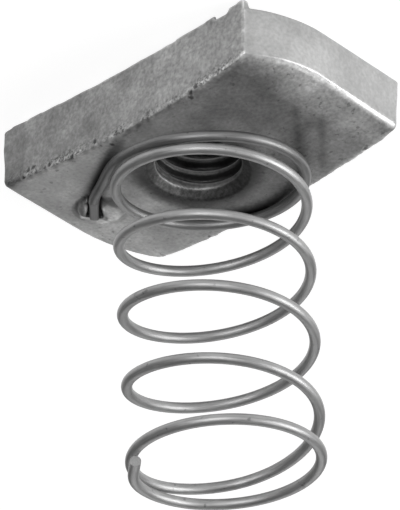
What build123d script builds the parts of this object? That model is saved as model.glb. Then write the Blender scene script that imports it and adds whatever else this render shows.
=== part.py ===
"""Strut spring nut: a toothed rectangular channel nut that carries a left-hand coil spring.

All sizes are in millimetres.  The origin is on the axis of the tapped hole, in the plane that
the toothed clamping face rests on, and +Z runs up through the nut and along the spring.
+X is the length of the nut, which spans the channel, and +Y its width.
"""

import os
from math import cos, radians, sin, sqrt

from build123d import *

os.makedirs("parts", exist_ok=True)

# ---- the nut block ------------------------------------------------------------------------
nut_length = 35.7               # spans the inside of the channel
nut_width = 19.5                # passes through the slot of the channel
nut_thickness = 7.5             # from face to face, beside the tapped hole
crown_radius = 113.0            # the spring face is crowned along the length
hollow_radius = 179.0           # the clamping face is hollow along the length
corner_setback = 2.8            # the two turning corners are cut back this far at the long sides
corner_run = 8.5                # width over which they curve back
square_corner_radius = 0.4      # the two corners that stop the nut against the channel
end_edge_radius = 1.0           # between the end faces and the spring face
end_bevel_width = 1.4           # between the end faces and the clamping face
end_bevel_height = 1.3

# ---- the toothed grooves, which sit on the lips of the channel ----------------------------
groove_spacing = 24.0           # between the middles of the two rows of teeth
groove_mouth = 3.6
groove_floor = 3.0
tooth_drop = 0.15               # crests of the teeth, below the clamping face
tooth_pitch = 1.3
tooth_depth = 0.9

# ---- the tapped hole ----------------------------------------------------------------------
thread_minor_diameter = 8.5     # M10 x 1.5
mouth_diameter = 10.15          # the countersinks at both ends of the thread
mouth_depth = 0.67

# ---- the spring ---------------------------------------------------------------------------
wire_diameter = 1.1
coil_radius = 9.4               # to the centre of the wire, at the nut
coil_radius_end = 9.1           # and at the free end
coil_centre_x = 1.5             # where the axis of the coil leaves the spring face
coil_centre_y = 0.05
lean_angle = 8.1                # of the axis of the coil from the axis of the thread
lean_heading = -108.4           # which way it leans, seen from above
coil_start_angle = 136.1        # where the first turn begins, seen from above
coil_turns = 6.045
first_turn_height = 1.88        # the first turn runs level, this far above the spring face
lead_from = 0.062               # the wire joins the coil here, in turns
lead_turns = 0.25               # and climbs to that level within this
lead_drop = 2.7
open_from = 0.7                 # where the pitch starts to open, in turns
open_ease = 0.7
open_pitch = 6.7                # at the nut
open_pitch_end = 8.55           # at the free end
close_from = 4.82               # where the pitch starts to close again
close_ease = 0.2
closed_pitch = 1.17
points_per_turn = 12

# The wire runs over the spring face from the stake to the coil through these points.
leg_points = [(-9.17, 4.65, 8.47), (-6.92, 6.04, 8.65), (-4.63, 7.31, 9.12)]

# ---- the stake that holds the tail of the wire --------------------------------------------
stake_x = -12.3
stake_y = 1.1
stake_diameter = 4.7
stake_height = 0.85
stake_edge_radius = 0.3
tail_heading = 46.1             # of the wire as it leaves the stake, seen from above
tail_offset = 0.66              # of the wire from the middle of the stake, away from the hole
tail_end_wall = 0.9             # between the cut end of the tail and the rim of the stake
tail_clearance = 0.05           # between the wire and its slot

half_length = nut_length / 2
half_width = nut_width / 2
lip_x = half_length - end_bevel_width
mouth_radius = mouth_diameter / 2
thread_radius = thread_minor_diameter / 2
wire_radius = wire_diameter / 2


def hollow_height(x):
    """Height of the hollow clamping face above the plane that it rests on, at x."""
    return (lip_x**2 - x**2) / (2 * hollow_radius)


spring_face_height = hollow_height(0) + nut_thickness


def crown_height(x):
    """Height of the crowned spring face, at x."""
    return spring_face_height - x**2 / (2 * crown_radius)


# ---- the stake's own plane, which follows the crown ---------------------------------------
stake_plane = Plane(
    origin=(stake_x, stake_y, crown_height(stake_x)),
    x_dir=(cos(radians(tail_heading)), sin(radians(tail_heading)),
           -stake_x / crown_radius * cos(radians(tail_heading))),
    z_dir=(stake_x / crown_radius, 0, 1),
)
stake_radius = stake_diameter / 2
tail_reach = sqrt(stake_radius**2 - tail_offset**2)
tail_tip = tail_end_wall - tail_reach
seat_height = wire_radius + tail_clearance

groove_ceiling = hollow_height((groove_spacing - groove_mouth) / 2) + tooth_drop


def end_edges(face):
    """Edges of a face along the two ends of the nut, and not along its sides."""
    return face.edges().filter_by(
        lambda edge: abs(edge.center().X) > half_length - corner_setback
        and abs(edge.center().Y) < half_width - square_corner_radius
    )


# ---- nut ----------------------------------------------------------------------------------
with BuildPart() as nut:
    with BuildSketch():
        with BuildLine():
            for side in (1, -1):
                turning = TangentArc(
                    (side * half_length, side * (half_width - corner_run)),
                    (side * (half_length - corner_setback), side * half_width),
                    tangent=(0, side),
                )
                Polyline(
                    turning @ 1,
                    (-side * half_length, side * half_width),
                    (-side * half_length, side * (corner_run - half_width)),
                )
        make_face()
    extrude(amount=spring_face_height, both=True)
    with BuildSketch(Plane.XZ):
        with BuildLine():
            Line((half_length, hollow_height(half_length)), (half_length, crown_height(half_length)))
            ThreePointArc(
                (half_length, crown_height(half_length)),
                (0, spring_face_height),
                (-half_length, crown_height(half_length)),
            )
            Line((-half_length, crown_height(half_length)), (-half_length, hollow_height(half_length)))
            ThreePointArc(
                (-half_length, hollow_height(half_length)),
                (0, hollow_height(0)),
                (half_length, hollow_height(half_length)),
            )
        make_face()
    extrude(amount=half_width, both=True, mode=Mode.INTERSECT)

    # The end faces, round corners included, roll over into the spring face and are bevelled
    # where they meet the clamping face.
    fillet(end_edges(nut.faces().sort_by(Axis.Z)[-1]), end_edge_radius)
    clamping_face = nut.faces().sort_by(Axis.Z)[0]
    chamfer(end_edges(clamping_face), end_bevel_width, end_bevel_height, reference=clamping_face)
    square_corners = nut.edges().filter_by(Axis.Z).filter_by(
        lambda edge: edge.center().X * edge.center().Y < 0
    )
    fillet(square_corners, square_corner_radius)

    # Two shallow grooves run across the clamping face, one for each lip of the channel.
    with BuildSketch(Plane.XZ):
        with Locations((groove_spacing / 2, 0), (-groove_spacing / 2, 0)):
            Polygon(
                (-groove_mouth / 2, 0),
                (-groove_floor / 2, groove_ceiling),
                (groove_floor / 2, groove_ceiling),
                (groove_mouth / 2, 0),
                align=None,
            )
    extrude(amount=half_width, both=True, mode=Mode.SUBTRACT)

    # Their ceilings are cut into V teeth, whose crests run along the nut.
    for side in (1, -1):
        with BuildSketch(Plane.YZ.offset(side * groove_spacing / 2)):
            with GridLocations(tooth_pitch, 0, int(nut_width / tooth_pitch) + 2, 1):
                Polygon(
                    (-tooth_pitch / 2, groove_ceiling),
                    (0, groove_ceiling + tooth_depth),
                    (tooth_pitch / 2, groove_ceiling),
                    align=None,
                )
        extrude(amount=groove_floor / 2, both=True, mode=Mode.SUBTRACT)

    # The tapped hole, at the crests of its thread, with a countersink at each end.
    mouth_low = hollow_height(0)
    with BuildSketch(Plane.XZ):
        Polygon(
            (0, 0),
            (mouth_radius, 0),
            (mouth_radius, mouth_low),
            (thread_radius, mouth_low + mouth_depth),
            (thread_radius, spring_face_height - mouth_depth),
            (mouth_radius, spring_face_height),
            (0, spring_face_height),
            align=None,
        )
    revolve(axis=Axis.Z, mode=Mode.SUBTRACT)

    # The stake is a low boss raised out of the spring face, slotted for the tail of the wire.
    with BuildSketch(stake_plane.offset(-stake_height)):
        Circle(stake_radius)
    extrude(amount=2 * stake_height)
    fillet(nut.faces().sort_by(Axis(stake_plane.origin, stake_plane.z_dir))[-1].edges(), stake_edge_radius)
    with BuildSketch(stake_plane):
        with Locations(((tail_tip + stake_radius) / 2, tail_offset)):
            Rectangle(stake_radius - tail_tip, wire_diameter + 2 * tail_clearance)
    extrude(amount=2 * stake_height, mode=Mode.SUBTRACT)

nut.part.label = "nut"
export_step(nut.part, "parts/nut.step")

# ---- spring -------------------------------------------------------------------------------
lean = radians(lean_angle)
lean_x = sin(lean) * cos(radians(lean_heading))
lean_y = sin(lean) * sin(radians(lean_heading))
coil_plane = Plane(
    origin=(coil_centre_x, coil_centre_y, spring_face_height),
    x_dir=(cos(lean), 0, -lean_x),
    z_dir=(lean_x, lean_y, cos(lean)),
)


def eased(value):
    """0 below 0, 1 above 1 and a smooth step between them."""
    value = min(max(value, 0), 1)
    return value * value * (3 - 2 * value)


def pitch_at(turn):
    """Rise of the coil in one turn, at a number of turns from its start."""
    opened = eased((turn - open_from) / open_ease) * (1 - eased((turn - close_from) / close_ease))
    open_share = (turn - open_from) / (close_from - open_from)
    closed = closed_pitch if turn > close_from else 0
    return closed + (open_pitch + (open_pitch_end - open_pitch) * open_share - closed) * opened


def coil_point(turn, height):
    """Point on the centre of the wire, seen in the leaning plane of the coil."""
    angle = radians(coil_start_angle - 360 * turn)
    radius = coil_radius + (coil_radius_end - coil_radius) * turn / coil_turns
    return coil_plane.from_local_coords(Vector(radius * cos(angle), radius * sin(angle), height))


tail = [
    stake_plane.from_local_coords(Vector(along, tail_offset, seat_height))
    for along in (tail_tip, tail_reach)
]
wire_points = [tail[1]] + [Vector(*point) for point in leg_points]
steps = round((coil_turns - lead_from) * points_per_turn)
step = (coil_turns - lead_from) / steps
height = first_turn_height
for index in range(steps + 1):
    turn = lead_from + index * step
    climb = lead_drop * max(1 - turn / lead_turns, 0) ** 2
    wire_points.append(coil_point(turn, height - climb))
    height += pitch_at(turn + step / 2) * step

with BuildPart() as spring:
    with BuildLine() as wire_line:
        Line(*tail)
        Spline(
            wire_points,
            tangents=[tail[1] - tail[0], wire_points[-1] - wire_points[-2]],
            tangent_scalars=[1, 1],
        )
    with BuildSketch(Plane(origin=tail[0], z_dir=tail[1] - tail[0])):
        Circle(wire_radius)
    sweep()

spring.part.label = "spring"
export_step(spring.part, "parts/spring.step")
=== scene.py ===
"""Looks of the strut spring nut: the pressed and tapped nut, and its staked coil spring.

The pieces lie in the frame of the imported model, in metres.  Sizes that the metal has for
itself are given in millimetres and multiplied by MM.
"""

import math
import random

import bmesh
import bpy
import numpy as np
from mathutils import Matrix, Vector, noise
from mathutils.kdtree import KDTree


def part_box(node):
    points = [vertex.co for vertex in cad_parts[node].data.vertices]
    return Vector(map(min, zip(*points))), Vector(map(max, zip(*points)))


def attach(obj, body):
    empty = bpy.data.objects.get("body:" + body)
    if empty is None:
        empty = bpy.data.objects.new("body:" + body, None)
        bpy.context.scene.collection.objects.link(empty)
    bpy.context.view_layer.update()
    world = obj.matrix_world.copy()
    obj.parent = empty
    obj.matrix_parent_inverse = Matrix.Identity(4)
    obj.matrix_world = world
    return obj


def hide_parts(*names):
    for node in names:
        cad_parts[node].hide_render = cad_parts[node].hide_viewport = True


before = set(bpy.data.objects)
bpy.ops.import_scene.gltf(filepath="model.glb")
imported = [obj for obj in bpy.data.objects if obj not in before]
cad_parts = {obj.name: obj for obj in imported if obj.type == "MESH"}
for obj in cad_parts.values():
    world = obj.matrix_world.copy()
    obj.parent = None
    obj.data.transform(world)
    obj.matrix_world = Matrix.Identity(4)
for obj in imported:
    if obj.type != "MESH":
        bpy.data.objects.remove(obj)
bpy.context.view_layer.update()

MM = 0.001
SCENE = bpy.context.scene
NUT_LOW, NUT_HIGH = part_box("nut")
SPRING_LOW, SPRING_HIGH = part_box("spring")

# The nut block.
NUT_HALF_LENGTH = NUT_HIGH.x
NUT_HALF_WIDTH = NUT_HIGH.y
CROWN_RADIUS = 113.0 * MM
HOLLOW_RADIUS = 179.0 * MM
END_BEVEL_WIDTH = 1.4 * MM
LIP_X = NUT_HALF_LENGTH - END_BEVEL_WIDTH
CORNER_SETBACK = 2.8 * MM
CORNER_RUN = 8.5 * MM
NUT_THICKNESS = 7.5 * MM
HOLLOW_TOP = LIP_X**2 / (2 * HOLLOW_RADIUS)
SPRING_FACE = HOLLOW_TOP + NUT_THICKNESS

# The thread, M10 x 1.5, its two countersinks, and the grid that they are cut with.
THREAD_PITCH = 1.5 * MM
THREAD_CREST = 4.25 * MM
THREAD_ROOT = 5.02 * MM
THREAD_LAND = 0.25
THREAD_FLANK = 0.625
THREAD_RUNOUT = 0.5 * MM
MOUTH_RADIUS = 5.3 * MM
MOUTH_DEPTH = 0.85 * MM
TAP_PAST = 0.5 * MM
TAP_RISE = 0.07 * MM
TAP_COLUMNS = 144

# The spring's wire and coil.  Places along the coil are in turns from its start.
WIRE_RADIUS = 0.55 * MM
WIRE_SIDES = 26
WIRE_STEP = 0.16 * MM
PATH_STEP = 0.1 * MM
COIL_RADIUS = 9.4 * MM
COIL_RADIUS_END = 9.1 * MM
COIL_CENTRE = Vector((1.5 * MM, 0.05 * MM, SPRING_FACE))
LEAN = math.radians(8.1)
LEAN_HEADING = math.radians(-108.4)
COIL_START = math.radians(136.1)
COIL_TURNS = 6.045
FIRST_LEVEL = 1.88 * MM
LEAD_FROM = 0.165
LEAD_TURNS = 0.25
LEAD_DROP = 2.7 * MM
OPEN_FROM = 0.7
OPEN_EASE = 0.7
OPEN_PITCH = 6.7 * MM
OPEN_PITCH_END = 8.55 * MM
CLOSE_FROM = 4.82
CLOSE_EASE = 0.2
CLOSED_PITCH = 1.17 * MM

# Where the turns are uneven: how far toward the nut, at which turn, over how much of one.
BENDS = (
    (0.22 * MM, 3.8, 0.25),
    (0.45 * MM, 4.42, 0.35),
    (-0.55 * MM, 4.7, 0.18),
    (0.2 * MM, 5.75, 0.4),
)
POINTS_PER_TURN = 12

# The wire runs over the spring face, from the stake to the coil, through these points in
# millimetres.
LEG_POINTS = [
    (-8.82, 4.79, 8.50), (-6.47, 6.24, 8.75), (-4.33, 7.41, 9.15),
    (-2.68, 8.12, 9.60), (-0.79, 8.67, 10.15),
]

# The stake and the tail that it holds.
STAKE_AT = Vector((-12.3 * MM, 1.1 * MM, 0))
STAKE_RADIUS = 2.35 * MM
STAKE_HEIGHT = 0.85 * MM
TAIL_HEADING = math.radians(46.1)
TAIL_OFFSET = 0.66 * MM
TAIL_END_WALL = 0.9 * MM
TAIL_REACH = math.sqrt(STAKE_RADIUS**2 - TAIL_OFFSET**2)
TAIL_TIP = TAIL_END_WALL - TAIL_REACH
TAIL_CUT = 0.55 * MM
TAIL_FLAT = 0.3 * MM
TAIL_PRESSED = 0.85
TAIL_PINCHED = 0.16
SEAT_HEIGHT = 0.6 * MM

# The two lobes that the punch raised, their slot, and the lip past the cut end of the wire.
LOBE_SLOT_TIP = 0.82 * MM
LOBE_SLOT_EXIT = 0.62 * MM
LOBE_SLOPE = 0.3
WIDE_LOBE_HEIGHT = 0.42 * MM
SLOT_FLOOR = -0.3 * MM
LIP_FROM = TAIL_TIP + TAIL_CUT - 0.15 * MM
LIP_HEIGHT = 0.5 * MM
LIP_LENGTH = 1.1 * MM
LIP_HALF_WIDTH = 1.3 * MM
LIP_EDGE = 0.5 * MM
LOBE_GRID = 0.07 * MM
LOBE_SINK = 0.02 * MM
LOBE_FOOT = -0.9 * MM

# The burr along the lower edge of one long side.
BURR_FROM = -14.2 * MM
BURR_TO = 11.2 * MM
BURR_DROP = 0.17 * MM
BURR_THICKNESS = 0.4 * MM
BURR_STEPS = 60

# The skin of the nut.
BOX_MARGIN = 0.001 * MM
MERGE = 1e-7
SKIN_STEP = 0.172 * MM
MID_HEIGHT = 4 * MM
CORNER_WEAR = 0.8 * MM
WEAR_DEPTH = 0.05 * MM

# The spring face rolls over into the two end faces.
ROLL_WIDTH = 3.4 * MM
ROLL_DROP = 0.22 * MM
ROLL_LEAST = 0.4
# Painted highlight on the rolled rims of the end faces.
ROLL_HIGHLIGHT = 0.45

# How uneven the skin is: the waves and grain all over, the shears' tears and their ragged edge.
WAVE_DEPTH = 0.016 * MM
GRAIN_DEPTH = 0.012 * MM
TEAR_DEPTH = 0.035 * MM
LUMP_DEPTH = 0.04 * MM
RAGGED_DEPTH = 0.09 * MM
HOLE_DEPTH = 0.1 * MM
PIT_SEED = 11
PIT_COUNT = 9

# How pale or dark the steel is in places, with the shade and highlights painted into its colour.
LOBE_POLISH = 0.5
# Painted shade on the narrow lobe; the lip's paleness is partly polish and partly a painted
# highlight.
NARROW_LOBE_SHADE = 0.5
LIP_POLISH_AND_HIGHLIGHT = 1.3
# Painted shadow of the spring on the face past the hole.
FACE_SHADE = 0.36
SIDE_PALING = 0.35
EDGE_PALING = 0.3
# Painted shade where the wire all but touches the nut's face.
CONTACT_SHADE_REACH = 1.2 * MM
CONTACT_SHADE_TONE = 0.03
# Painted shade on the face round the mouth of the hole.
MOUTH_SHADE_REACH = 2.0 * MM
MOUTH_SHADE_TONE = 0.2
# Painted shade down the bore of the hole.
BORE_SHADE_TONE = 0.38

# Runs that dried on the face: from and to, in millimetres, and how dark.
DRIPS = (((13.2, 0.3), (7.7, -6.6), 0.3), ((14.0, -2.6), (9.3, -8.0), 0.35))
DRIP_WIDTH = 0.45 * MM

# Brightness of each metal surface.
FACE_TONE = 0.33
SIDE_TONE = 0.30
END_TONE = 0.45
WIRE_TONE = 0.37

# The floor.  Metal mirrors its full glow only inside the pool, and a little of it further out.
FLOOR_HALF_SIZE = 3.0
FLOOR_TONE = 0.3
FLOOR_GLOW = 0.86
POOL_REACH = 70 * MM
POOL_EDGE = 0.1

# Brightness of the studio, from the horizon up.
STUDIO_TONES = ((0.0, 0.12), (0.15, 0.16), (0.36, 0.34), (0.6, 0.16), (1.0, 0.1))

# Soft lamps: name, heading and height in degrees, distance from the target, size and power.
LAMP_TARGET = Vector((0, 0, 20 * MM))
LAMPS = (
    ("key", -30.0, 20.0, 0.7, (0.5, 0.35), 4.0),
    ("back", 228.0, 26.0, 0.7, (0.6, 0.35), 0.75),
    ("edge", -46.0, 42.0, 0.7, (0.4, 0.35), 0.22),
    ("front", 60.0, 22.0, 0.7, (0.4, 0.3), 2.6),
)

# The camera stands at this distance and these angles from the hole, and looks at its aim.
CAMERA_DISTANCE = 0.568
CAMERA_AZIMUTH = math.radians(46.097)
CAMERA_ELEVATION = math.radians(35.337)
CAMERA_ROLL = math.radians(-0.714)
CAMERA_AIM = Vector((0.168, -0.162, 18.325)) * MM
CAMERA_LENS = 407.4


def crown_height(x):
    """Height of the crowned spring face, at one x or an array of them."""
    return SPRING_FACE - x * x / (2 * CROWN_RADIUS)


def eased(value):
    """0 below 0, 1 above 1 and a smooth step between them."""
    value = min(max(value, 0.0), 1.0)
    return value * value * (3 - 2 * value)


# ---- small helpers ------------------------------------------------------------------------


def mesh_object(name, mesh):
    """New object at the origin that shows a mesh."""
    obj = bpy.data.objects.new(name, mesh)
    SCENE.collection.objects.link(obj)
    return obj


def evaluated_mesh(obj):
    """What an object looks like with its modifiers, as a plain mesh."""
    bpy.context.view_layer.update()
    depsgraph = bpy.context.evaluated_depsgraph_get()
    return bpy.data.meshes.new_from_object(obj.evaluated_get(depsgraph))


def drop(*objects):
    """Removes helper objects."""
    for obj in objects:
        bpy.data.objects.remove(obj)


def shade_smooth(mesh):
    """Shades every face of a mesh smooth."""
    mesh.polygons.foreach_set("use_smooth", [True] * len(mesh.polygons))


def node_of(tree, kind, **settings):
    """New node of a tree, with its settings."""
    node = tree.nodes.new(kind)
    for label, value in settings.items():
        setattr(node, label, value)
    return node


def node_tree(name, inputs):
    """New Geometry Nodes tree with a geometry in and out and named inputs."""
    tree = bpy.data.node_groups.new(name, "GeometryNodeTree")
    tree.interface.new_socket("Geometry", in_out="INPUT", socket_type="NodeSocketGeometry")
    for label, kind, value in inputs:
        socket = tree.interface.new_socket(label, in_out="INPUT", socket_type=kind)
        if value is not None:
            socket.default_value = value
    tree.interface.new_socket("Geometry", in_out="OUTPUT", socket_type="NodeSocketGeometry")
    return tree, tree.nodes.new("NodeGroupInput"), tree.nodes.new("NodeGroupOutput")


def add_nodes_modifier(obj, tree, **values):
    """Geometry Nodes modifier, with its inputs set by the identifiers of their sockets."""
    modifier = obj.modifiers.new(tree.name, "NODES")
    modifier.node_group = tree
    for item in tree.interface.items_tree:
        if item.item_type == "SOCKET" and item.in_out == "INPUT" and item.name in values:
            modifier[item.identifier] = values[item.name]
    return modifier


# ---- the spring ---------------------------------------------------------------------------

STAKE_UP = Vector((STAKE_AT.x / CROWN_RADIUS, 0, 1)).normalized()
STAKE_ALONG = Vector((math.cos(TAIL_HEADING), math.sin(TAIL_HEADING), 0))
STAKE_ALONG = (STAKE_ALONG - STAKE_ALONG.dot(STAKE_UP) * STAKE_UP).normalized()
STAKE_ASIDE = STAKE_UP.cross(STAKE_ALONG)
STAKE_BASE = Vector((STAKE_AT.x, STAKE_AT.y, crown_height(STAKE_AT.x)))


def on_stake(along, aside, up):
    """Point near the stake: along the tail, to its side away from the hole, and up."""
    return STAKE_BASE + along * STAKE_ALONG + aside * STAKE_ASIDE + up * STAKE_UP


def pitch_at(turn):
    """Rise of the coil in one turn, at a number of turns from its start."""
    opened = eased((turn - OPEN_FROM) / OPEN_EASE) * (1 - eased((turn - CLOSE_FROM) / CLOSE_EASE))
    share = (turn - OPEN_FROM) / (CLOSE_FROM - OPEN_FROM)
    closed = CLOSED_PITCH if turn > CLOSE_FROM else 0.0
    return closed + (OPEN_PITCH + (OPEN_PITCH_END - OPEN_PITCH) * share - closed) * opened


def coil_frame():
    """Matrix of the leaning plane that the turns of the coil lie along."""
    up = Vector((
        math.sin(LEAN) * math.cos(LEAN_HEADING),
        math.sin(LEAN) * math.sin(LEAN_HEADING),
        math.cos(LEAN),
    ))
    across = Vector((up.z, 0, -up.x)).normalized()
    return Matrix((across, up.cross(across), up)).transposed()


def smooth_run(points, start_way, end_way, spacing):
    """Points close together on the smooth curve through some points, with its end directions."""
    points = np.array([tuple(point) for point in points])
    span = np.linalg.norm(np.diff(points, axis=0), axis=1)
    slope = np.diff(points, axis=0) / span[:, None]
    count = len(points)
    matrix = np.zeros((count, count))
    right = np.zeros((count, 3))
    matrix[0, 0] = matrix[-1, -1] = 1
    right[0], right[-1] = start_way, end_way
    for index in range(1, count - 1):
        before, after = span[index - 1], span[index]
        matrix[index, index - 1:index + 2] = after, 2 * (before + after), before
        right[index] = 3 * (after * slope[index - 1] + before * slope[index])
    ways = np.linalg.solve(matrix, right)
    dense = []
    for index in range(count - 1):
        for share in np.arange(0, 1, spacing / span[index]):
            far = 1 - share
            dense.append(
                far * far * (1 + 2 * share) * points[index]
                + share * share * (3 - 2 * share) * points[index + 1]
                + share * far * span[index] * (far * ways[index] - share * ways[index + 1])
            )
    return [Vector(point) for point in dense] + [Vector(points[-1])]


def wire_path():
    """Close points on the centre of the wire, from the cut end of the tail to the free end."""
    tail_start = on_stake(TAIL_TIP + TAIL_CUT, TAIL_OFFSET, SEAT_HEIGHT)
    points = [on_stake(TAIL_REACH, TAIL_OFFSET, SEAT_HEIGHT)]
    points += [Vector(point) * MM for point in LEG_POINTS]
    turns_frame = coil_frame()
    steps = round((COIL_TURNS - LEAD_FROM) * POINTS_PER_TURN)
    step = (COIL_TURNS - LEAD_FROM) / steps
    height = FIRST_LEVEL
    for index in range(steps + 1):
        turn = LEAD_FROM + index * step
        angle = COIL_START - 2 * math.pi * turn
        radius = COIL_RADIUS + (COIL_RADIUS_END - COIL_RADIUS) * turn / COIL_TURNS
        climb = LEAD_DROP * max(1 - turn / LEAD_TURNS, 0) ** 2
        offset = Vector((radius * math.cos(angle), radius * math.sin(angle), height - climb))
        points.append(COIL_CENTRE + turns_frame @ offset)
        for bend, middle, span in BENDS:
            points[-1].z -= bend * math.exp(-(((turn - middle) / span) ** 2))
        height += pitch_at(turn + step / 2) * step
    start_way = (points[0] - tail_start).normalized()
    end_way = (points[-1] - points[-2]).normalized()
    return [tail_start, *smooth_run(points, start_way, end_way, PATH_STEP)]


def wire_sweep_tree():
    """Geometry Nodes: sweeps a round wire along a path, and stores the way along and round it."""
    tree, start, end = node_tree("Wire sweep", [
        ("Wire radius", "NodeSocketFloat", WIRE_RADIUS),
        ("Sides", "NodeSocketInt", WIRE_SIDES),
        ("Step", "NodeSocketFloat", WIRE_STEP),
        ("Material", "NodeSocketMaterial", None),
    ])
    even = node_of(tree, "GeometryNodeResampleCurve", mode="LENGTH")
    section = node_of(tree, "GeometryNodeCurvePrimitiveCircle")
    length = node_of(tree, "GeometryNodeSplineParameter")
    run = node_of(tree, "GeometryNodeStoreNamedAttribute")
    run.inputs["Name"].default_value = "run"
    place = node_of(tree, "GeometryNodeInputPosition")
    unit = node_of(tree, "ShaderNodeVectorMath", operation="NORMALIZE")
    around = node_of(tree, "GeometryNodeStoreNamedAttribute", data_type="FLOAT_VECTOR")
    around.inputs["Name"].default_value = "around"
    sweep = node_of(tree, "GeometryNodeCurveToMesh")
    sweep.inputs["Fill Caps"].default_value = True
    realize = node_of(tree, "GeometryNodeRealizeInstances")
    paint = node_of(tree, "GeometryNodeSetMaterial")
    link = tree.links.new
    link(start.outputs["Geometry"], even.inputs["Curve"])
    link(start.outputs["Step"], even.inputs["Length"])
    link(start.outputs["Wire radius"], section.inputs["Radius"])
    link(start.outputs["Sides"], section.inputs["Resolution"])
    link(even.outputs["Curve"], run.inputs["Geometry"])
    link(length.outputs["Length"], run.inputs["Value"])
    link(place.outputs["Position"], unit.inputs[0])
    link(section.outputs["Curve"], around.inputs["Geometry"])
    link(unit.outputs["Vector"], around.inputs["Value"])
    link(run.outputs["Geometry"], sweep.inputs["Curve"])
    link(around.outputs["Geometry"], sweep.inputs["Profile Curve"])
    link(sweep.outputs["Mesh"], realize.inputs["Geometry"])
    link(realize.outputs["Geometry"], paint.inputs["Geometry"])
    link(start.outputs["Material"], paint.inputs["Material"])
    link(paint.outputs["Geometry"], end.inputs["Geometry"])
    return tree


def flatten_tail(mesh):
    """The punch that closed the stake has pressed a flat on the tail."""
    run = mesh.attributes["run"].data
    for vertex in mesh.vertices:
        offset = vertex.co - STAKE_BASE
        along = offset.dot(STAKE_ALONG)
        near = run[vertex.index].value <= 4 * STAKE_RADIUS and offset.length <= 2 * STAKE_RADIUS
        if not near or along > STAKE_RADIUS:
            continue
        held = 1 - eased((along - 0.6 * STAKE_RADIUS) / (0.4 * STAKE_RADIUS))
        vertex.co -= TAIL_PINCHED * held * (offset.dot(STAKE_ASIDE) - TAIL_OFFSET) * STAKE_ASIDE
        over = offset.dot(STAKE_UP) - SEAT_HEIGHT - TAIL_FLAT
        if over > 0:
            vertex.co -= over * TAIL_PRESSED * STAKE_UP


def make_spring(material):
    """The coil spring, one wire from its staked tail to its cut end."""
    path = bpy.data.curves.new("wire_path", "CURVE")
    path.dimensions = "3D"
    points = wire_path()
    spline = path.splines.new("POLY")
    spline.points.add(len(points) - 1)
    for spline_point, point in zip(spline.points, points):
        spline_point.co = (*point, 1)
    guide = bpy.data.objects.new("wire_path", path)
    SCENE.collection.objects.link(guide)
    add_nodes_modifier(guide, wire_sweep_tree(), Material=material)
    mesh = evaluated_mesh(guide)
    drop(guide)
    shade_smooth(mesh)
    flatten_tail(mesh)
    keep_inside(mesh, SPRING_LOW, SPRING_HIGH)
    mark_sharp_rims(mesh)
    spring = mesh_object("coil_spring", mesh)
    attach(spring, "root")
    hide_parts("spring")


def keep_inside(mesh, low, high):
    """Holds every point of a mesh just inside a box."""
    places, _ = vertex_arrays(mesh)
    places = np.clip(places, np.array(low) + BOX_MARGIN, np.array(high) - BOX_MARGIN)
    mesh.vertices.foreach_set("co", places.astype(np.float32).ravel())
    mesh.update()


def mark_sharp_rims(mesh):
    """Keeps the cut ends of the wire flat against its smooth sides."""
    caps = [polygon for polygon in mesh.polygons if len(polygon.vertices) > 4]
    rim = {tuple(sorted(key)) for polygon in caps for key in polygon.edge_keys}
    for edge in mesh.edges:
        if tuple(sorted(edge.vertices)) in rim:
            edge.use_edge_sharp = True


# ---- the nut ------------------------------------------------------------------------------


def thread_radius(z, turn):
    """Radius of the tapped wall, at a height and a share of a turn round the hole."""
    phase = (z / THREAD_PITCH - turn) % 1.0
    flank = 1 - abs(phase - 0.5) / 0.5
    depth = min(max((flank - THREAD_LAND) / THREAD_FLANK, 0), 1)
    return THREAD_CREST + (THREAD_ROOT - THREAD_CREST) * depth


def mouth_radius(z):
    """Radius of the two countersinks, at a height."""
    flare = (MOUTH_RADIUS - THREAD_CREST) / MOUTH_DEPTH
    return MOUTH_RADIUS + max(HOLLOW_TOP - z, z - SPRING_FACE) * flare


def skin_between(bm, rings):
    """Closes a tube of rings of vertices, with a cap at each end."""
    for below, above in zip(rings, rings[1:]):
        for column, vertex in enumerate(below):
            after = (column + 1) % len(below)
            bm.faces.new((vertex, below[after], above[after], above[column]))
    bm.faces.new(list(reversed(rings[0])))
    bm.faces.new(rings[-1])


def finish_bmesh(bm, name):
    """New helper object from a bmesh."""
    mesh = bpy.data.meshes.new(name)
    bm.to_mesh(mesh)
    bm.free()
    return mesh_object(name, mesh)


def make_tap():
    """A solid of the space inside the nut's thread and its two countersinks."""
    low, high = -TAP_PAST, SPRING_FACE + TAP_PAST
    rows = round((high - low) / TAP_RISE)
    bm = bmesh.new()
    rings = []
    for row in range(rows + 1):
        z = low + (high - low) * row / rows
        ring = []
        for column in range(TAP_COLUMNS):
            turn = column / TAP_COLUMNS
            cut = eased((SPRING_FACE - MOUTH_DEPTH - z) / THREAD_RUNOUT)
            thread = THREAD_CREST + (thread_radius(z, turn) - THREAD_CREST) * cut
            radius = max(thread, mouth_radius(z))
            angle = 2 * math.pi * turn
            ring.append(bm.verts.new((radius * math.cos(angle), radius * math.sin(angle), z)))
        rings.append(ring)
    skin_between(bm, rings)
    return finish_bmesh(bm, "thread_tap")


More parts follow.
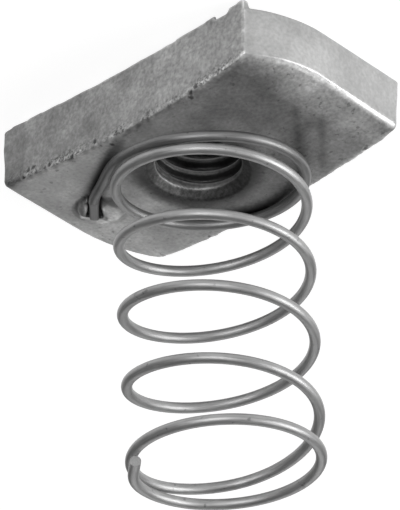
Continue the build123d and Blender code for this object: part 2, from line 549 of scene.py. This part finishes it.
def lobe_height(along, aside):
    """Height of the staked metal over the spring face, round the wire's slot."""
    opened = eased((along + 1.2 * MM) / (2.4 * MM))
    spread = LOBE_SLOT_TIP + (LOBE_SLOT_EXIT - LOBE_SLOT_TIP) * opened
    off_wire = aside - TAIL_OFFSET
    past_tip = LIP_FROM - along
    if abs(off_wire) < spread and past_tip < 0:
        return SLOT_FLOOR
    if past_tip > 0 and abs(off_wire) < LIP_HALF_WIDTH:
        slope = 1 - eased(past_tip / LIP_LENGTH)
        inside = (abs(off_wire) - LIP_HALF_WIDTH + LIP_EDGE) / LIP_EDGE
        return LIP_HEIGHT * slope * (1 - eased(inside))
    if off_wire > 0:
        height = STAKE_HEIGHT - 0.15 * MM - LOBE_SLOPE * (off_wire - spread)
        return height if math.hypot(along, aside) < STAKE_RADIUS else 0
    over = math.hypot((along + 0.1 * MM) / (2.2 * MM), (aside + 0.9 * MM) / (1.6 * MM))
    return WIDE_LOBE_HEIGHT * (1 - eased((over - 0.55) / 0.6))


def make_lobes():
    """The stake's two lobes as the punch left them, down to below the spring face."""
    bm = bmesh.new()
    reach = STAKE_RADIUS + 0.5 * MM
    count = round(2 * reach / LOBE_GRID)
    top, bottom = {}, {}
    for i in range(count + 1):
        for j in range(count + 1):
            along = reach * (2 * i / count - 1)
            aside = reach * (2 * j / count - 1)
            height = lobe_height(along, aside) - LOBE_SINK
            top[i, j] = bm.verts.new(on_stake(along, aside, height))
            bottom[i, j] = bm.verts.new(on_stake(along, aside, LOBE_FOOT))
    for i in range(count):
        for j in range(count):
            for layer, order in ((top, 1), (bottom, -1)):
                face = [layer[i, j], layer[i + 1, j], layer[i + 1, j + 1], layer[i, j + 1]]
                bm.faces.new(face[::order])
    rim = ([(i, 0) for i in range(count)] + [(count, j) for j in range(count)]
           + [(i, count) for i in range(count, 0, -1)] + [(0, j) for j in range(count, 0, -1)])
    for here, after in zip(rim, rim[1:] + rim[:1]):
        bm.faces.new((bottom[here], bottom[after], top[after], top[here]))
    bmesh.ops.recalc_face_normals(bm, faces=bm.faces)
    return finish_bmesh(bm, "stake_lobes")


def make_prism(name, section, low, high, place):
    """A closed prism: a section of (along, aside) points carried from low to high."""
    bm = bmesh.new()
    rings = [[bm.verts.new(place(a, b, level)) for a, b in section] for level in (low, high)]
    skin_between(bm, rings)
    bmesh.ops.recalc_face_normals(bm, faces=bm.faces)
    return finish_bmesh(bm, name)


def make_boss_cutter():
    """Clears the plain boss and the floor of its slot, for the staked lobes to take its place."""
    reach = STAKE_RADIUS + 0.3 * MM
    angles = [math.tau * step / 48 for step in range(48)]
    section = [(reach * math.cos(angle), reach * math.sin(angle)) for angle in angles]
    return make_prism("boss_cutter", section, SLOT_FLOOR, 1.6 * MM, on_stake)


def hull_object(name, points):
    """New helper object: the closed hull round some points."""
    bm = bmesh.new()
    for point in points:
        bm.verts.new(point)
    made = bmesh.ops.convex_hull(bm, input=bm.verts)
    loose = [item for item in made["geom_interior"] + made["geom_unused"]
             if isinstance(item, bmesh.types.BMVert)]
    bmesh.ops.delete(bm, geom=loose, context="VERTS")
    bmesh.ops.recalc_face_normals(bm, faces=bm.faces)
    return finish_bmesh(bm, name)


def hollow_height(x):
    """Height of the hollow clamping face, at x."""
    return (LIP_X * LIP_X - x * x) / (2 * HOLLOW_RADIUS)


def make_burrs():
    """Metal that the shears pushed past the lower edge of one long side, and its two corners."""
    side_y = NUT_HALF_WIDTH
    round_x = NUT_HALF_LENGTH - CORNER_SETBACK
    pointed = [
        (round_x - 2.2 * MM, side_y, hollow_height(round_x - 2.2 * MM) + 0.02 * MM),
        (round_x - 0.1 * MM, side_y - 0.02 * MM, 0.06 * MM),
        (round_x + 0.1 * MM, side_y - 0.75 * MM, 0.12 * MM),
        (round_x - 2.0 * MM, side_y - 0.5 * MM, 0.75 * MM),
        (round_x - 0.02 * MM, side_y - 0.02 * MM, 2.0 * MM),
        (round_x + 0.15 * MM, side_y - 0.7 * MM, 1.9 * MM),
        (round_x - 1.5 * MM, side_y - 1.4 * MM, 1.5 * MM),
    ]
    square = [
        (-NUT_HALF_LENGTH + 0.12 * MM, side_y - 0.12 * MM, 0.06 * MM),
        (-NUT_HALF_LENGTH + 0.05 * MM, side_y - 0.5 * MM, 0.15 * MM),
        (-NUT_HALF_LENGTH + 2.4 * MM, side_y, 0.12 * MM),
        (-NUT_HALF_LENGTH + 2.2 * MM, side_y - 1.0 * MM, 0.5 * MM),
        (-NUT_HALF_LENGTH + 0.12 * MM, side_y - 0.12 * MM, 1.6 * MM),
        (-NUT_HALF_LENGTH + 0.1 * MM, side_y - 1.3 * MM, 1.5 * MM),
    ]
    return [hull_object("burr", pointed), hull_object("burr", square), make_burr_strip()]


def make_burr_strip():
    """The thin burr along that edge, which closes the mouths of the two grooves."""
    bm = bmesh.new()
    rings = []
    inner, outer, top = NUT_HALF_WIDTH - BURR_THICKNESS, NUT_HALF_WIDTH, 2 * MM
    for step in range(BURR_STEPS + 1):
        x = BURR_FROM + (BURR_TO - BURR_FROM) * step / BURR_STEPS
        low = hollow_height(x) - BURR_DROP * (1 + 0.5 * noise.noise(Vector((x / (2 * MM), 0, 0))))
        corners = ((inner, low + 0.1 * MM), (outer, low), (outer, top), (inner, top))
        rings.append([bm.verts.new((x, y, z)) for y, z in corners])
    skin_between(bm, rings)
    bmesh.ops.recalc_face_normals(bm, faces=bm.faces)
    return finish_bmesh(bm, "burr_strip")


def subtract(block, cutter):
    """Cuts one closed helper object out of another."""
    cut = block.modifiers.new("cut", "BOOLEAN")
    cut.operation = "DIFFERENCE"
    cut.solver = "EXACT"
    cut.object = cutter
    mesh = evaluated_mesh(block)
    block.modifiers.clear()
    block.data = mesh
    drop(cutter)


def merged_copy(node):
    """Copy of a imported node's mesh with its loose triangles joined."""
    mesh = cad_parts[node].data.copy()
    bm = bmesh.new()
    bm.from_mesh(mesh)
    bmesh.ops.remove_doubles(bm, verts=bm.verts, dist=MERGE)
    bm.to_mesh(mesh)
    bm.free()
    return mesh


def join_meshes(objects):
    """All the helper objects' meshes in the first of them."""
    bm = bmesh.new()
    for obj in objects:
        bm.from_mesh(obj.data)
    mesh = bpy.data.meshes.new("joined")
    bm.to_mesh(mesh)
    bm.free()
    drop(*objects[1:])
    objects[0].data = mesh
    return objects[0]


def one_skin(block):
    """One even skin round everything in a helper object, its corners a little softened."""
    skin = block.modifiers.new("skin", "REMESH")
    skin.mode = "VOXEL"
    skin.voxel_size = SKIN_STEP
    ease = block.modifiers.new("ease", "SMOOTH")
    ease.factor = 0.5
    ease.iterations = 1
    mesh = evaluated_mesh(block)
    block.modifiers.clear()
    drop(block)
    return mesh


def vertex_arrays(mesh):
    """The places and normals of a mesh's points, as arrays of three columns."""
    places = np.empty(3 * len(mesh.vertices), np.float32)
    normals = np.empty(3 * len(mesh.vertices), np.float32)
    mesh.vertices.foreach_get("co", places)
    mesh.vertices.foreach_get("normal", normals)
    return places.reshape(-1, 3).astype(float), normals.reshape(-1, 3).astype(float)


def noise_of(places, scale, seed, stretch=(1, 1, 1)):
    """Smooth noise at some places, with features of about the size of scale."""
    shift = Vector((seed * 7.3, seed * 3.1, seed * 5.7))
    factors = [1 / (scale * part) for part in stretch]
    return np.array([
        noise.noise(Vector((x * factors[0], y * factors[1], z * factors[2])) + shift)
        for x, y, z in places
    ])


def smoothed(value, low, high):
    """Smooth steps from 0 to 1 between low and high, for arrays."""
    share = np.clip((value - low) / (high - low), 0, 1)
    return share * share * (3 - 2 * share)


def end_distance(x, y):
    """How far a point of the plan is inside the end face on its own side, round corner included."""
    past_turn = np.clip(y - (NUT_HALF_WIDTH - CORNER_RUN), 0, None)
    outline = NUT_HALF_LENGTH - CORNER_SETBACK * (past_turn / CORNER_RUN) ** 2
    return outline - np.abs(x)


def pit_places():
    """Where the shears tore small pits: along the upper edges of the two long sides."""
    chance = random.Random(PIT_SEED)
    pits = []
    for side in (1, -1):
        for _ in range(PIT_COUNT):
            x = chance.uniform(-15.5, 8.0) * MM
            on_side = chance.random() < 0.62
            drop_down = abs(chance.gauss(0, 0.55)) * MM
            radius = chance.uniform(0.16, 0.38) * MM
            depth = radius * chance.uniform(0.2, 0.6)
            if on_side:
                place = (side * x, side * NUT_HALF_WIDTH, crown_height(x) - drop_down - 0.15 * MM)
            else:
                place = (side * x, side * (NUT_HALF_WIDTH - drop_down - 0.1 * MM), crown_height(x))
            pits.append((Vector(place), radius, depth))
    return pits


def roughen(mesh):
    """Moves the skin as rolling, shearing and plating left it; stores masks, painted light among
    them.
    """
    places, normals = vertex_arrays(mesh)
    x, y, z = places.T
    from_side = NUT_HALF_WIDTH - np.abs(y)
    below_face = crown_height(x) - z
    from_axis = np.hypot(x, y)
    off_hole = smoothed(from_axis, MOUTH_RADIUS - 0.1 * MM, MOUTH_RADIUS + 0.3 * MM)
    sheared = smoothed(np.abs(normals[:, 1]), 0.45, 0.8)
    sheared *= smoothed(-from_side, -0.5 * MM, -0.2 * MM)
    ends = smoothed(np.abs(normals[:, 0]), 0.5, 0.85) * smoothed(np.abs(x), 12 * MM, 13.5 * MM)
    edge_band = smoothed(-from_side, -0.9 * MM, -0.1 * MM)
    edge_band *= smoothed(-np.abs(below_face), -1.1 * MM, -0.2 * MM)

    shift = WAVE_DEPTH * noise_of(places, 3.2 * MM, 1)
    shift += GRAIN_DEPTH * noise_of(places, 0.8 * MM, 2)
    tears = noise_of(places, 0.5 * MM, 3, (1, 1, 1.6))
    lumps = noise_of(places, 1.6 * MM, 4)
    shift += sheared * (TEAR_DEPTH * tears + LUMP_DEPTH * lumps)
    shift += edge_band * RAGGED_DEPTH * (noise_of(places, 0.7 * MM, 5) - 0.25)
    torn_band = sheared * smoothed(-below_face, -1.7 * MM, -0.5 * MM)
    torn_band *= 0.35 + 0.65 * smoothed(noise_of(places, 2.5 * MM, 8), -0.3, 0.3)
    holes = smoothed(noise_of(places, 0.42 * MM, 6, (1.5, 1, 1)), 0.12, 0.5)
    shift -= torn_band * holes * HOLE_DEPTH
    shift *= off_hole
    pitted = press_pits(places, shift)

    moved = places + normals * shift[:, None]
    rolled = rolled_ends(x, y, normals[:, 2])
    moved[:, 2] -= ROLL_DROP * rolled * smoothed(z, 3 * MM, 5 * MM)
    moved = wear_corners(moved)
    mesh.vertices.foreach_set("co", moved.astype(np.float32).ravel())
    keep_inside(mesh, NUT_LOW, NUT_HIGH)

    in_hole = from_axis < MOUTH_RADIUS + 0.1 * MM
    deep = np.minimum(below_face, z - HOLLOW_TOP)
    on_face = smoothed(normals[:, 2], 0.5, 0.9) * (z > MID_HEIGHT)
    # Tone with painted light in it: the spring's shadow on the face, the narrow lobe's shade and
    # the lip's highlight, besides stains and polish.
    tone_and_painted_light = face_shade_and_side_tone(x, y, sheared) * punch_polish_and_painted_light(moved)
    tone_and_painted_light += EDGE_PALING * edge_band * smoothed(x, 5 * MM, 12 * MM)
    # Painted highlight on the rolled rims of the end faces.
    tone_and_painted_light += ROLL_HIGHLIGHT * rolled * (z > MID_HEIGHT)
    store(mesh, "sheared", sheared)
    store(mesh, "ends", ends)
    store(mesh, "torn", torn_band)
    store(mesh, "pitted", pitted)
    # Mask of painted shade deep in the hole.
    store(mesh, "bore_shade", in_hole * smoothed(deep, 0.75 * MM, 1.3 * MM))
    store(mesh, "mouth", in_hole * (1 - smoothed(deep, 0.6 * MM, 0.9 * MM)))
    # Mask of painted shade on the face round the mouth of the hole.
    store(mesh, "mouth_shade", on_face * (1 - smoothed(from_axis - MOUTH_RADIUS, 0.1 * MM, MOUTH_SHADE_REACH)))
    # Mask of painted shade where the wire all but touches the nut.
    store(mesh, "contact_shade", wire_contact_shade(moved))
    store(mesh, "tone_and_painted_light", tone_and_painted_light)
    # Convex edges stay pale as wear; concave creases are darkened as painted shade.
    store(mesh, "wear_and_crease_shade", edge_proudness(mesh) * (1 - 0.9 * smoothed(np.abs(x), 14.5 * MM, 16 * MM)))


def press_pits(places, shift):
    """Presses the pits into the skin's shift, and says how far each point is in one."""
    tree = KDTree(len(places))
    for index, place in enumerate(places):
        tree.insert(place, index)
    tree.balance()
    pitted = np.zeros(len(places))
    for place, radius, depth in pit_places():
        for found, index, distance in tree.find_range(place, 1.5 * radius):
            ragged_radius = radius * (1 + 0.5 * noise.noise(found / (0.3 * MM)))
            share = max(1 - (distance / ragged_radius) ** 2, 0)
            shift[index] -= depth * share
            pitted[index] = max(pitted[index], share)
    return pitted


def rolled_ends(x, y, upward):
    """1 at the rim of an end face, falling to 0 where the spring face stops rolling over."""
    side_y = y * np.sign(x)
    share = ROLL_LEAST + (1 - ROLL_LEAST) * smoothed(side_y, -8 * MM, 3 * MM)
    rolled = share * (1 - smoothed(end_distance(x, side_y) / share, 0, ROLL_WIDTH))
    return rolled * smoothed(upward, 0.2, 0.8)


def face_shade_and_side_tone(x, y, sheared):
    """Tone of the face and long sides: the face darker past the hole as painted shadow of the
    spring, with drip stains, and the sides paler to that end.
    """
    # Painted shadow of the spring on the face past the hole.
    spring_shade = smoothed(x, -5 * MM, 1 * MM) * (1 - smoothed(x, 13.2 * MM, 16.2 * MM))
    face = (1 - FACE_SHADE * spring_shade) * drip_stains(x, y)
    side = 1 + SIDE_PALING * smoothed(x, -3 * MM, 16 * MM)
    side *= 1 - 0.2 * (1 - smoothed(x, -14.9 * MM, -14.4 * MM))
    return face + (side - face) * sheared


def drip_stains(x, y):
    """Thin dull runs that dried on the face beside the hole."""
    tone = np.ones_like(x)
    for start, end, darkness in DRIPS:
        start, way = np.array(start) * MM, (np.array(end) - np.array(start)) * MM
        length = np.linalg.norm(way)
        offset_x, offset_y = x - start[0], y - start[1]
        along = np.clip((offset_x * way[0] + offset_y * way[1]) / length**2, 0, 1)
        gap = np.hypot(offset_x - along * way[0], offset_y - along * way[1])
        tone *= 1 - darkness * np.exp(-((gap / DRIP_WIDTH) ** 2))
    return tone


def wear_corners(places):
    """Rounds the two corners of the block where the shear pulled the skin over."""
    x, y, z = places.T
    side = np.sign(x)
    inside = [end_distance(x, y * side), NUT_HALF_WIDTH + y * side, crown_height(x) - z]
    near = 1 - smoothed(np.maximum(inside[0], inside[1]), CORNER_WEAR, 3 * CORNER_WEAR)
    short = np.stack([np.clip(CORNER_WEAR - depth, 0, None) for depth in inside], axis=1)
    reach = np.linalg.norm(short, axis=1)
    over = np.clip(reach - CORNER_WEAR, 0, None) * near * smoothed(z, 2 * MM, 5 * MM)
    outward = np.stack([side, -side, np.ones_like(side)], axis=1)
    return places - outward * short * (over / np.maximum(reach, MERGE))[:, None]


def wire_contact_shade(places):
    """Painted contact shade: 1 where the wire all but touches the nut, falling to 0 a little way
    off it.
    """
    path = [point for point in wire_path() if point.z < SPRING_FACE + CONTACT_SHADE_REACH]
    tree = KDTree(len(path))
    for index, point in enumerate(path):
        tree.insert(point, index)
    tree.balance()
    gaps = np.array([tree.find(place)[2] - WIRE_RADIUS for place in places])
    return 1 - smoothed(gaps, 0.0, CONTACT_SHADE_REACH)


def punch_polish_and_painted_light(places):
    """Tone of the stake: the wide lobe and lip paler from the punch, the lip partly a painted
    highlight, the other lobe darker as painted shade.
    """
    offsets = places - np.array(STAKE_AT)
    along = offsets @ np.array(STAKE_ALONG)
    aside = offsets @ np.array(STAKE_ASIDE)
    off_wire = aside - TAIL_OFFSET
    upper = places[:, 2] > MID_HEIGHT
    inside = STAKE_RADIUS + 0.2 * MM - np.hypot(along, aside)
    on_stake_top = smoothed(inside, 0, 0.25 * MM) * upper
    past_tip = LIP_FROM - along
    lip = smoothed(past_tip, 0.0, 0.15 * MM) * (1 - smoothed(past_tip, 0.55 * MM, 0.85 * MM))
    lip *= (1 - smoothed(np.abs(off_wire), 0.75 * MM, 1.0 * MM)) * upper
    wide = on_stake_top * smoothed(-off_wire, 0.6 * MM, 0.9 * MM)
    narrow = on_stake_top * smoothed(off_wire, 0.3 * MM, 0.6 * MM)
    # The narrow lobe's darkening is painted shade, and the lip's paleness partly polish and partly
    # a painted highlight.
    return 1 + (LOBE_POLISH * wide - NARROW_LOBE_SHADE * narrow) * (1 - lip) + LIP_POLISH_AND_HIGHLIGHT * lip


def edge_proudness(mesh):
    """How far each point stands proud of its neighbours: over 0 on edges, under 0 in corners."""
    places, normals = vertex_arrays(mesh)
    ends = np.empty(2 * len(mesh.edges), np.int32)
    mesh.edges.foreach_get("vertices", ends)
    first, second = ends.reshape(-1, 2).T
    measure = places
    for _ in range(3):
        total = np.zeros_like(places)
        count = np.zeros(len(places))
        np.add.at(total, first, measure[second])
        np.add.at(total, second, measure[first])
        np.add.at(count, first, 1)
        np.add.at(count, second, 1)
        measure = total / count[:, None]
    proud = np.einsum("ij,ij->i", places - measure, normals)
    return np.clip(proud / WEAR_DEPTH, -1, 1)


def store(mesh, name, values):
    """Keeps one number for each point of a mesh, for its material."""
    attribute = mesh.attributes.new(name, "FLOAT", "POINT")
    attribute.data.foreach_set("value", np.asarray(values, np.float32))


def make_nut(material):
    """The nut block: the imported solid, tapped, staked, and roughened as its making left it."""
    block = mesh_object("nut_block", merged_copy("nut"))
    subtract(block, make_tap())
    subtract(block, make_boss_cutter())
    block = join_meshes([block, make_lobes(), *make_burrs()])
    mesh = one_skin(block)
    roughen(mesh)
    shade_smooth(mesh)
    mesh.materials.clear()
    mesh.materials.append(material)
    nut = mesh_object("channel_nut", mesh)
    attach(nut, "root")
    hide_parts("nut")


# ---- materials ----------------------------------------------------------------------------


class Paint:
    """Builds the node tree of one metal, a few plain steps at a time."""

    def __init__(self, name, metallic):
        self.material = bpy.data.materials.new(name)
        self.material.use_nodes = True
        self.tree = self.material.node_tree
        self.shader = self.tree.nodes["Principled BSDF"]
        self.shader.inputs["Metallic"].default_value = metallic

    def plug(self, source, socket):
        """A number, colour or another node's output goes into a socket."""
        if isinstance(source, bpy.types.NodeSocket):
            self.tree.links.new(source, socket)
        else:
            socket.default_value = source

    def math(self, operation, first, second=0.0, clamp=False):
        node = node_of(self.tree, "ShaderNodeMath", operation=operation, use_clamp=clamp)
        self.plug(first, node.inputs[0])
        self.plug(second, node.inputs[1])
        return node.outputs[0]

    def attribute(self, name, output="Fac"):
        """A value that the mesh stores."""
        return node_of(self.tree, "ShaderNodeAttribute", attribute_name=name).outputs[output]

    def object_place(self):
        return node_of(self.tree, "ShaderNodeTexCoord").outputs["Object"]

    def vector(self, operation, first, second):
        node = node_of(self.tree, "ShaderNodeVectorMath", operation=operation)
        self.plug(first, node.inputs[0])
        self.plug(second, node.inputs[1])
        return node.outputs[0]

    def noise(self, vector, scale, detail=3.0, roughness=0.55):
        node = node_of(self.tree, "ShaderNodeTexNoise")
        self.plug(vector, node.inputs["Vector"])
        node.inputs["Scale"].default_value = scale
        node.inputs["Detail"].default_value = detail
        node.inputs["Roughness"].default_value = roughness
        return node.outputs["Fac"]

    def span(self, value, low, high, to_low, to_high):
        """Carries low..high to to_low..to_high, and no further."""
        node = node_of(self.tree, "ShaderNodeMapRange")
        self.plug(value, node.inputs["Value"])
        labels = ("From Min", "From Max", "To Min", "To Max")
        for label, number in zip(labels, (low, high, to_low, to_high)):
            node.inputs[label].default_value = number
        return node.outputs["Result"]

    def mix(self, share, first, second):
        """From the first number to the second as the share goes from 0 to 1."""
        node = node_of(self.tree, "ShaderNodeMix", data_type="FLOAT")
        self.plug(share, node.inputs[0])
        self.plug(first, node.inputs[2])
        self.plug(second, node.inputs[3])
        return node.outputs[0]

    def multiply(self, first, *others):
        for other in others:
            first = self.math("MULTIPLY", first, other)
        return first

    def grey(self, value, tint):
        """Colour of a brightness, with a slight tint."""
        node = node_of(self.tree, "ShaderNodeCombineColor")
        for channel, part in zip(node.inputs, tint):
            self.plug(self.math("MULTIPLY", value, part), channel)
        return node.outputs[0]

    def bump(self, height, distance, under=None):
        """Surface direction for a height, over that of another bump."""
        node = node_of(self.tree, "ShaderNodeBump")
        node.inputs["Strength"].default_value = 1.0
        node.inputs["Distance"].default_value = distance
        self.plug(height, node.inputs["Height"])
        if under is not None:
            self.plug(under, node.inputs["Normal"])
        return node.outputs[0]


def plated_steel():
    """Zinc-plated steel: torn on the long sides, smooth on the ends, specked on the faces, with
    shade and highlights painted in.
    """
    paint = Paint("plated_steel", 0.6)
    place = paint.object_place()
    sheared = paint.attribute("sheared")
    ends = paint.attribute("ends")
    pitted = paint.attribute("pitted")
    wear_and_crease_shade = paint.attribute("wear_and_crease_shade")
    bore_shade = paint.attribute("bore_shade")
    torn = paint.attribute("torn")
    mouth = paint.attribute("mouth")
    contact_shade = paint.attribute("contact_shade")
    mouth_shade = paint.attribute("mouth_shade")
    tone_and_painted_light = paint.attribute("tone_and_painted_light")

    clouds = paint.noise(place, 300, 5)
    grain = paint.noise(place, 2600, 3)
    tears = paint.noise(paint.vector("MULTIPLY", place, (1, 1, 0.6)), 2300, 5, 0.65)
    specks = paint.noise(place, 1500, 2, 0.5)
    crumbs = paint.noise(place, 2900, 3, 0.6)
    crevices = paint.noise(place, 4200, 3, 0.6)
    stains = paint.noise(place, 120, 3)
    specked = paint.math("ADD", specks, paint.span(stains, 0.35, 0.65, -0.06, 0.06))

    tone = paint.mix(sheared, FACE_TONE, SIDE_TONE)
    tone = paint.mix(ends, tone, END_TONE)
    cloudy = [paint.span(clouds, 0.3, 0.7, 1 - depth, 1 + depth) for depth in (0.26, 0.08)]
    grainy = [paint.span(grain, 0.3, 0.7, 1 - depth, 1 + depth) for depth in (0.24, 0.13)]
    off_faces = paint.math("MAXIMUM", ends, sheared)
    worn_pale = paint.multiply(wear_and_crease_shade, paint.span(mouth, 0.0, 1.0, 1.0, 0.45))
    tone = paint.multiply(
        tone,
        # Painted shade and highlights, together with the stains and side tones.
        tone_and_painted_light,
        paint.mix(ends, *cloudy),
        paint.mix(ends, paint.span(stains, 0.35, 0.65, 0.82, 1.15), 1.0),
        paint.mix(ends, *grainy),
        paint.mix(sheared, 1.0, paint.span(tears, 0.3, 0.7, 0.82, 1.18)),
        paint.mix(off_faces, paint.span(specked, 0.66, 0.72, 1.0, 0.6), 1.0),
        # Painted shade in the pits.
        paint.span(pitted, 0.05, 0.6, 1.0, 0.5),
        paint.mix(torn, 1.0, paint.span(crevices, 0.40, 0.55, 0.35, 1.1)),
        paint.span(worn_pale, 0.2, 0.8, 1.0, 1.6),
        # Painted shade in concave creases.
        paint.span(wear_and_crease_shade, -0.5, -0.1, 0.6, 1.0),
        paint.mix(sheared, paint.span(stains, 0.35, 0.65, 0.88, 1.12), 1.0),
        # Painted shade deep in the hole.
        paint.mix(bore_shade, 1.0, BORE_SHADE_TONE),
        paint.mix(mouth, 1.0, paint.span(crumbs, 0.4, 0.6, 0.65, 1.1)),
        # Painted shade where the wire all but touches the nut.
        paint.mix(contact_shade, 1.0, CONTACT_SHADE_TONE),
        # Painted shade on the face round the mouth of the hole.
        paint.mix(mouth_shade, 1.0, MOUTH_SHADE_TONE),
    )
    paint.plug(paint.grey(tone, (1.0, 1.0, 0.995)), paint.shader.inputs["Base Color"])
    rough = paint.mix(sheared, 0.46, 0.58)
    rough = paint.mix(ends, rough, 0.42)
    rough = paint.math("ADD", rough, paint.span(clouds, 0.3, 0.7, -0.06, 0.06))
    paint.plug(paint.math("ADD", rough, paint.span(grain, 0.3, 0.7, -0.05, 0.05), True),
               paint.shader.inputs["Roughness"])
    lumps = paint.bump(clouds, 0.05 * MM)
    ragged = paint.bump(paint.multiply(tears, sheared), 0.08 * MM, lumps)
    paint.plug(paint.bump(grain, 0.016 * MM, ragged), paint.shader.inputs["Normal"])
    return paint.material


def drawn_wire():
    """Satin spring wire with the fine streaks of its drawing running along it, and painted shade
    near the stake.
    """
    paint = Paint("drawn_wire", 0.85)
    around = paint.attribute("around", "Vector")
    run = paint.attribute("run")
    along = node_of(paint.tree, "ShaderNodeCombineXYZ")
    paint.plug(run, along.inputs["Z"])
    on_wire = paint.vector("ADD", around, paint.vector("MULTIPLY", along.outputs[0], (0, 0, 90)))
    streaks = paint.noise(on_wire, 3.2, 4, 0.6)
    fine = paint.noise(on_wire, 11, 2)
    place = paint.object_place()
    clouds = paint.noise(place, 420, 3)
    marks = paint.noise(place, 1300, 2, 0.5)
    tone = paint.multiply(
        paint.span(streaks, 0.3, 0.7, WIRE_TONE * 0.84, WIRE_TONE * 1.16),
        paint.span(fine, 0.3, 0.7, 0.93, 1.07),
        paint.span(clouds, 0.3, 0.7, 0.92, 1.08),
        paint.span(marks, 0.68, 0.75, 1.0, 0.6),
        # Painted shade on the tail, the leg and the first turn near the stake.
        paint.span(run, 0.01, 0.09, 0.45, 1.0),
    )
    paint.plug(paint.grey(tone, (1.0, 1.0, 1.0)), paint.shader.inputs["Base Color"])
    rough = paint.span(streaks, 0.3, 0.7, 0.42, 0.55)
    paint.plug(rough, paint.shader.inputs["Roughness"])
    paint.plug(paint.bump(streaks, 0.012 * MM), paint.shader.inputs["Normal"])
    return paint.material


# ---- floor, light and camera --------------------------------------------------------------


def white_floor():
    """White to the eye and in near reflections, over a grey that takes the lamps' shadows."""
    material = bpy.data.materials.new("white_floor")
    material.use_nodes = True
    tree = material.node_tree
    tree.nodes.clear()
    out = node_of(tree, "ShaderNodeOutputMaterial")
    diffuse = node_of(tree, "ShaderNodeBsdfDiffuse")
    diffuse.inputs["Color"].default_value = (FLOOR_TONE, FLOOR_TONE, FLOOR_TONE, 1)
    glow = node_of(tree, "ShaderNodeEmission")
    rays = node_of(tree, "ShaderNodeLightPath")
    seen = node_of(tree, "ShaderNodeMath", operation="MAXIMUM")
    through = node_of(tree, "ShaderNodeMath", operation="MAXIMUM")
    strength = node_of(tree, "ShaderNodeMath", operation="MULTIPLY")
    strength.inputs[1].default_value = FLOOR_GLOW
    both = node_of(tree, "ShaderNodeAddShader")
    place = node_of(tree, "ShaderNodeTexCoord")
    reach = node_of(tree, "ShaderNodeVectorMath", operation="LENGTH")
    pool = node_of(tree, "ShaderNodeMapRange", interpolation_type="SMOOTHSTEP")
    for socket, value in zip(pool.inputs[1:5], (POOL_REACH, 3 * POOL_REACH, 1.0, POOL_EDGE)):
        socket.default_value = value
    mirrored = node_of(tree, "ShaderNodeMath", operation="MULTIPLY")
    link = tree.links.new
    link(place.outputs["Object"], reach.inputs[0])
    link(reach.outputs["Value"], pool.inputs["Value"])
    link(pool.outputs["Result"], mirrored.inputs[0])
    link(rays.outputs["Is Glossy Ray"], mirrored.inputs[1])
    link(rays.outputs["Is Camera Ray"], seen.inputs[0])
    link(mirrored.outputs[0], seen.inputs[1])
    link(seen.outputs[0], through.inputs[0])
    link(rays.outputs["Is Transmission Ray"], through.inputs[1])
    link(through.outputs[0], strength.inputs[0])
    link(strength.outputs[0], glow.inputs["Strength"])
    link(diffuse.outputs[0], both.inputs[0])
    link(glow.outputs[0], both.inputs[1])
    link(both.outputs[0], out.inputs["Surface"])
    return material


def make_floor():
    """A plain floor, wide enough to fill every view."""
    bm = bmesh.new()
    corners = ((-1, -1), (1, -1), (1, 1), (-1, 1))
    bm.faces.new([bm.verts.new((x * FLOOR_HALF_SIZE, y * FLOOR_HALF_SIZE, 0)) for x, y in corners])
    floor = finish_bmesh(bm, "floor")
    floor.data.materials.append(white_floor())


def make_world():
    """A studio that is palest some way above the horizon, and darker below and overhead."""
    world = bpy.data.worlds.new("studio")
    SCENE.world = world
    world.use_nodes = True
    tree = world.node_tree
    background = tree.nodes["Background"]
    place = node_of(tree, "ShaderNodeTexCoord")
    parts = node_of(tree, "ShaderNodeSeparateXYZ")
    ramp = node_of(tree, "ShaderNodeValToRGB")
    tree.links.new(place.outputs["Generated"], parts.inputs[0])
    tree.links.new(parts.outputs["Z"], ramp.inputs["Fac"])
    tree.links.new(ramp.outputs["Color"], background.inputs["Color"])
    stops = ramp.color_ramp.elements
    while len(stops) < len(STUDIO_TONES):
        stops.new(0.5)
    for stop, (height, tone) in zip(stops, STUDIO_TONES):
        stop.position = height
        stop.color = (tone, tone, tone, 1)


def direction(heading, height):
    """The way to look for something at a heading and a height over the horizon."""
    return Vector((
        math.cos(height) * math.cos(heading),
        math.cos(height) * math.sin(heading),
        math.sin(height),
    ))


def make_lamp(name, heading, height, distance, size, power):
    """A soft oblong lamp that shines on the part, from a heading and a height in degrees."""
    toward = direction(math.radians(heading), math.radians(height))
    data = bpy.data.lights.new(name, "AREA")
    data.shape = "RECTANGLE"
    data.size, data.size_y = size
    data.energy = power
    lamp = bpy.data.objects.new(name, data)
    SCENE.collection.objects.link(lamp)
    lamp.location = LAMP_TARGET + distance * toward
    lamp.rotation_euler = (-toward).to_track_quat("-Z", "Y").to_euler()


def make_camera():
    """Camera at the side of the spring face, turned over so that the spring hangs down."""
    hole = Vector((0, 0, SPRING_FACE))
    place = hole + CAMERA_DISTANCE * direction(CAMERA_AZIMUTH, CAMERA_ELEVATION)
    sight = (CAMERA_AIM - place).normalized()
    up = (Vector((0, 0, -1)) + sight.z * sight).normalized()
    up = math.cos(CAMERA_ROLL) * up + math.sin(CAMERA_ROLL) * sight.cross(up)
    turned = Matrix((sight.cross(up), up, -sight)).transposed().to_4x4()
    data = bpy.data.cameras.new("camera")
    data.sensor_width = 36
    data.lens = CAMERA_LENS
    data.clip_start = 0.01
    camera = bpy.data.objects.new("camera", data)
    SCENE.collection.objects.link(camera)
    camera.matrix_world = Matrix.Translation(place) @ turned
    SCENE.camera = camera


make_nut(plated_steel())
make_spring(drawn_wire())
make_floor()
make_world()
for lamp in LAMPS:
    make_lamp(*lamp)
make_camera()
SCENE.view_settings.view_transform = "Standard"
